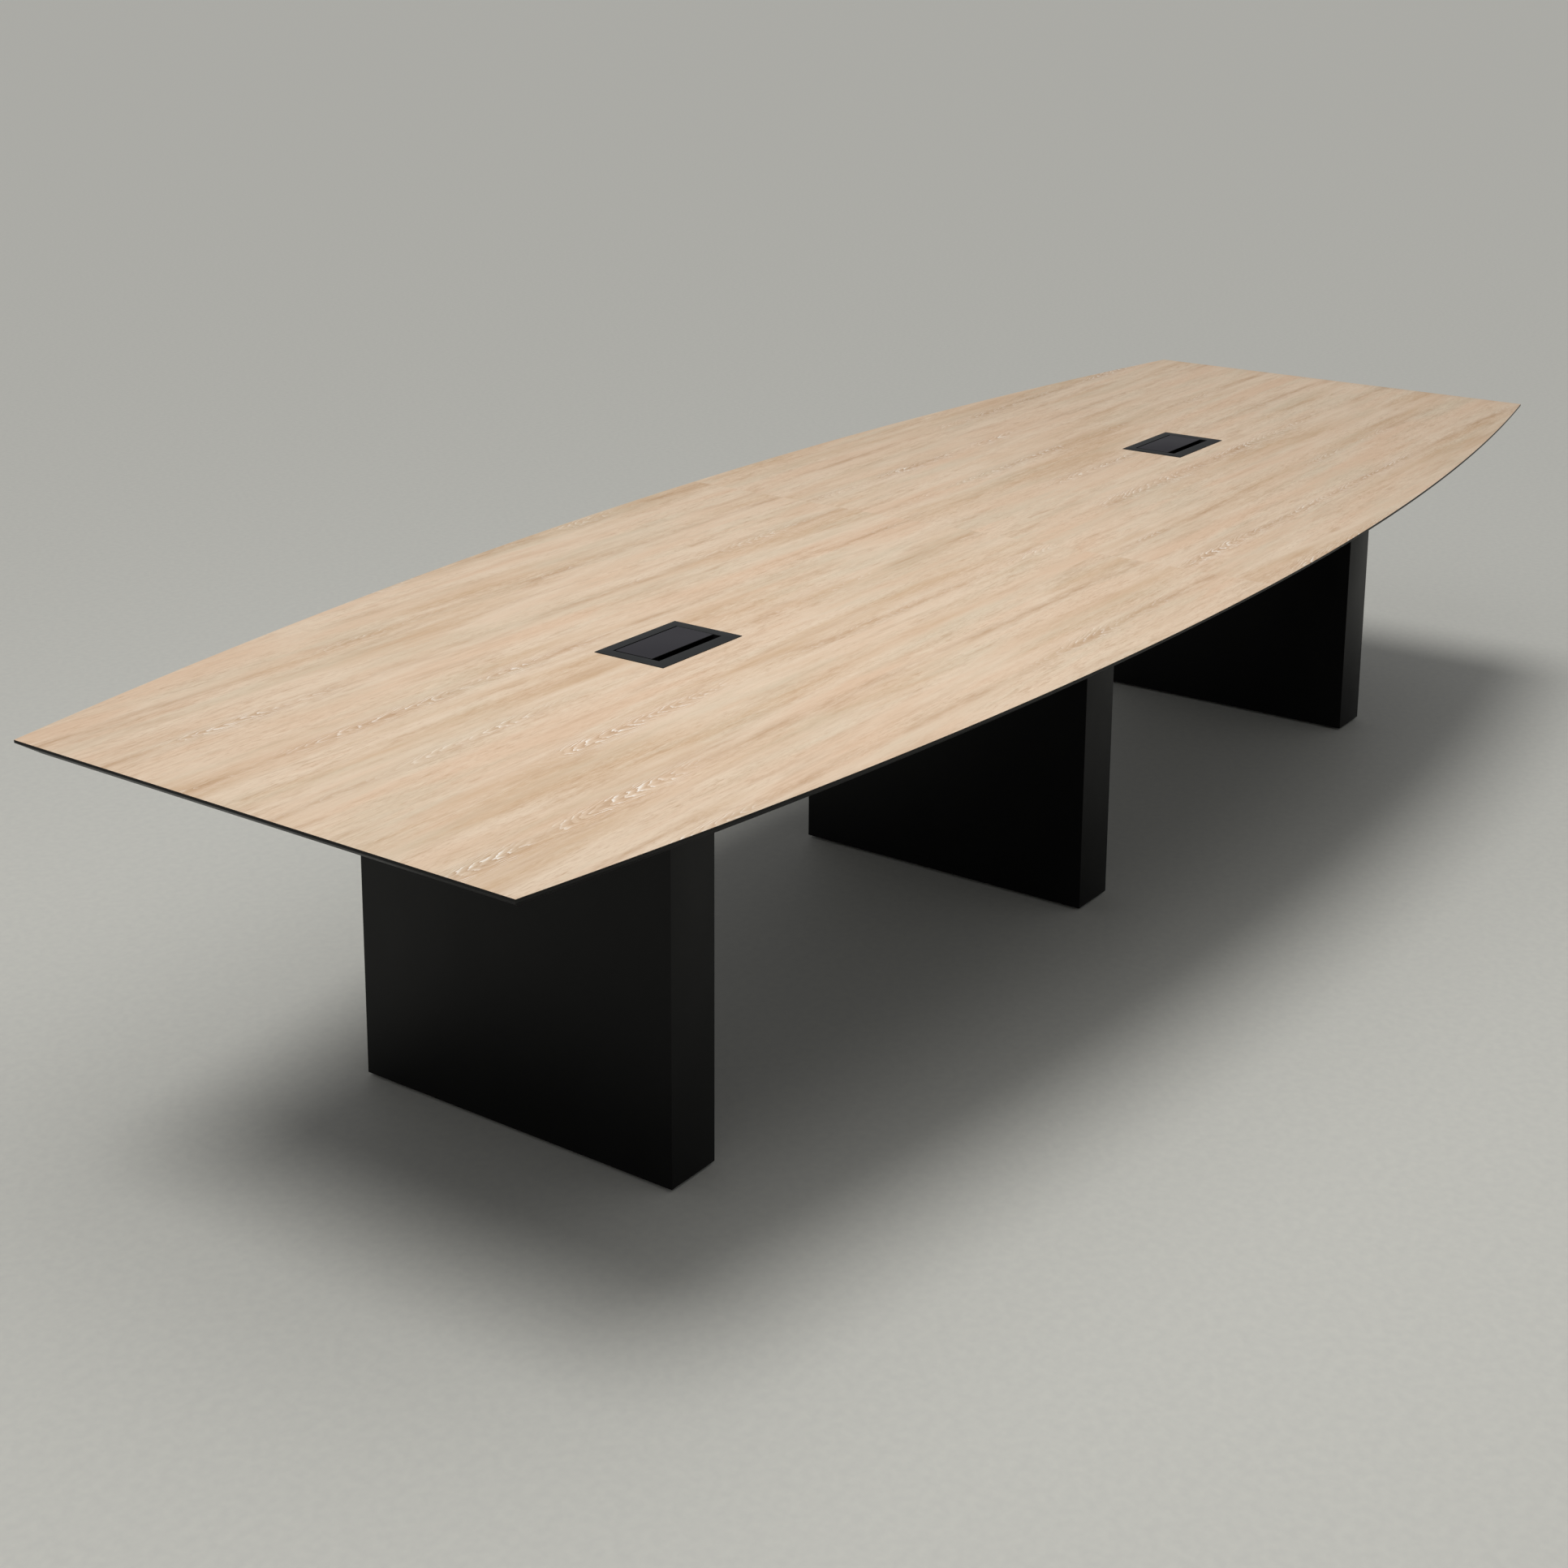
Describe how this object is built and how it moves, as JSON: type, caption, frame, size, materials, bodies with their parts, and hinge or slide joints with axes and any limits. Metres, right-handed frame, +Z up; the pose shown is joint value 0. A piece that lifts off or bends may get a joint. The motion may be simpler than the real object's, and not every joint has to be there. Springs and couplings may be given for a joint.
{
  "type": "conference table",
  "caption": "Long boat-shaped conference table with a wood-grain laminate top, thin black undercut edge, black slab bases on levelling glides and flush power boxes with hinged lids.",
  "frame": {"origin": "on the floor, under the middle of the top", "axes": "+X along the table to its far end, +Y to its back long side, +Z up"},
  "size_m": [3.96, 1.4, 0.7515],
  "materials": {
    "oak_laminate": "satin limed-oak wood-grain laminate",
    "core_board": "raw fibreboard",
    "backer_sheet": "matt black balancing laminate",
    "edge_black": "satin black lacquer",
    "base_black": "matt black laminate",
    "plate_black": "black powder coat",
    "plain_steel": "zinc plated",
    "beech": "fluted beech",
    "glide_nylon": "black nylon",
    "box_black": "satin black anodised",
    "tray_black": "black powder coat",
    "socket_plastic": "black moulded plastic"
  },
  "bodies": {
    "table": {"near_top_panel": "core_board", "near_top_laminate": "oak_laminate", "near_top_backer": "backer_sheet", "near_end_lipping": "edge_black", "near_front_lipping": "edge_black", "near_back_lipping": "edge_black", "far_top_panel": "core_board", "far_top_laminate": "oak_laminate", "far_top_backer": "backer_sheet", "far_end_lipping": "edge_black", "far_front_lipping": "edge_black", "far_back_lipping": "edge_black", "seam_dowels": "beech", "seam_bolts": "plain_steel", "wood_screws": "plain_steel", "tee_nuts": "plain_steel", "box_screws": "plain_steel", "near_base_near_face": "base_black", "near_base_far_face": "base_black", "near_base_front_end": "base_black", "near_base_back_end": "base_black", "near_base_top_rail": "core_board", "near_base_bottom_rail": "core_board", "near_base_plate": "plate_black", "middle_base_near_face": "base_black", "middle_base_far_face": "base_black", "middle_base_front_end": "base_black", "middle_base_back_end": "base_black", "middle_base_top_rail": "core_board", "middle_base_bottom_rail": "core_board", "middle_base_plate": "plate_black", "far_base_near_face": "base_black", "far_base_far_face": "base_black", "far_base_front_end": "base_black", "far_base_back_end": "base_black", "far_base_top_rail": "core_board", "far_base_bottom_rail": "core_board", "far_base_plate": "plate_black", "base_ribs": "core_board", "near_box_bezel": "box_black", "near_box_tray": "tray_black", "near_box_sockets": "socket_plastic", "far_box_bezel": "box_black", "far_box_tray": "tray_black", "far_box_sockets": "socket_plastic", "box_clamps": "tray_black"},
    "near_box_lid": {"near_box_lid": "box_black"},
    "far_box_lid": {"far_box_lid": "box_black"},
    "near_base_glide_1": {"near_base_glide_1": "glide_nylon"},
    "near_base_glide_2": {"near_base_glide_2": "glide_nylon"},
    "near_base_glide_3": {"near_base_glide_3": "glide_nylon"},
    "near_base_glide_4": {"near_base_glide_4": "glide_nylon"},
    "middle_base_glide_1": {"middle_base_glide_1": "glide_nylon"},
    "middle_base_glide_2": {"middle_base_glide_2": "glide_nylon"},
    "middle_base_glide_3": {"middle_base_glide_3": "glide_nylon"},
    "middle_base_glide_4": {"middle_base_glide_4": "glide_nylon"},
    "far_base_glide_1": {"far_base_glide_1": "glide_nylon"},
    "far_base_glide_2": {"far_base_glide_2": "glide_nylon"},
    "far_base_glide_3": {"far_base_glide_3": "glide_nylon"},
    "far_base_glide_4": {"far_base_glide_4": "glide_nylon"}
  },
  "joints": [
    {"name": "near_box_lid_hinge", "type": "hinge", "parent": "table", "child": "near_box_lid", "pos_m": [-0.989, 0.04708, 0.747], "axis": [-1, 0, 0], "range_deg": [0, 100]},
    {"name": "far_box_lid_hinge", "type": "hinge", "parent": "table", "child": "far_box_lid", "pos_m": [0.989, 0.04708, 0.747], "axis": [-1, 0, 0], "range_deg": [0, 100]},
    {"name": "near_base_glide_1_level", "type": "slide", "parent": "table", "child": "near_base_glide_1", "axis": [0, 0, -1], "range_m": [0, 0.01]},
    {"name": "near_base_glide_2_level", "type": "slide", "parent": "table", "child": "near_base_glide_2", "axis": [0, 0, -1], "range_m": [0, 0.01]},
    {"name": "near_base_glide_3_level", "type": "slide", "parent": "table", "child": "near_base_glide_3", "axis": [0, 0, -1], "range_m": [0, 0.01]},
    {"name": "near_base_glide_4_level", "type": "slide", "parent": "table", "child": "near_base_glide_4", "axis": [0, 0, -1], "range_m": [0, 0.01]},
    {"name": "middle_base_glide_1_level", "type": "slide", "parent": "table", "child": "middle_base_glide_1", "axis": [0, 0, -1], "range_m": [0, 0.01]},
    {"name": "middle_base_glide_2_level", "type": "slide", "parent": "table", "child": "middle_base_glide_2", "axis": [0, 0, -1], "range_m": [0, 0.01]},
    {"name": "middle_base_glide_3_level", "type": "slide", "parent": "table", "child": "middle_base_glide_3", "axis": [0, 0, -1], "range_m": [0, 0.01]},
    {"name": "middle_base_glide_4_level", "type": "slide", "parent": "table", "child": "middle_base_glide_4", "axis": [0, 0, -1], "range_m": [0, 0.01]},
    {"name": "far_base_glide_1_level", "type": "slide", "parent": "table", "child": "far_base_glide_1", "axis": [0, 0, -1], "range_m": [0, 0.01]},
    {"name": "far_base_glide_2_level", "type": "slide", "parent": "table", "child": "far_base_glide_2", "axis": [0, 0, -1], "range_m": [0, 0.01]},
    {"name": "far_base_glide_3_level", "type": "slide", "parent": "table", "child": "far_base_glide_3", "axis": [0, 0, -1], "range_m": [0, 0.01]},
    {"name": "far_base_glide_4_level", "type": "slide", "parent": "table", "child": "far_base_glide_4", "axis": [0, 0, -1], "range_m": [0, 0.01]}
  ]
}
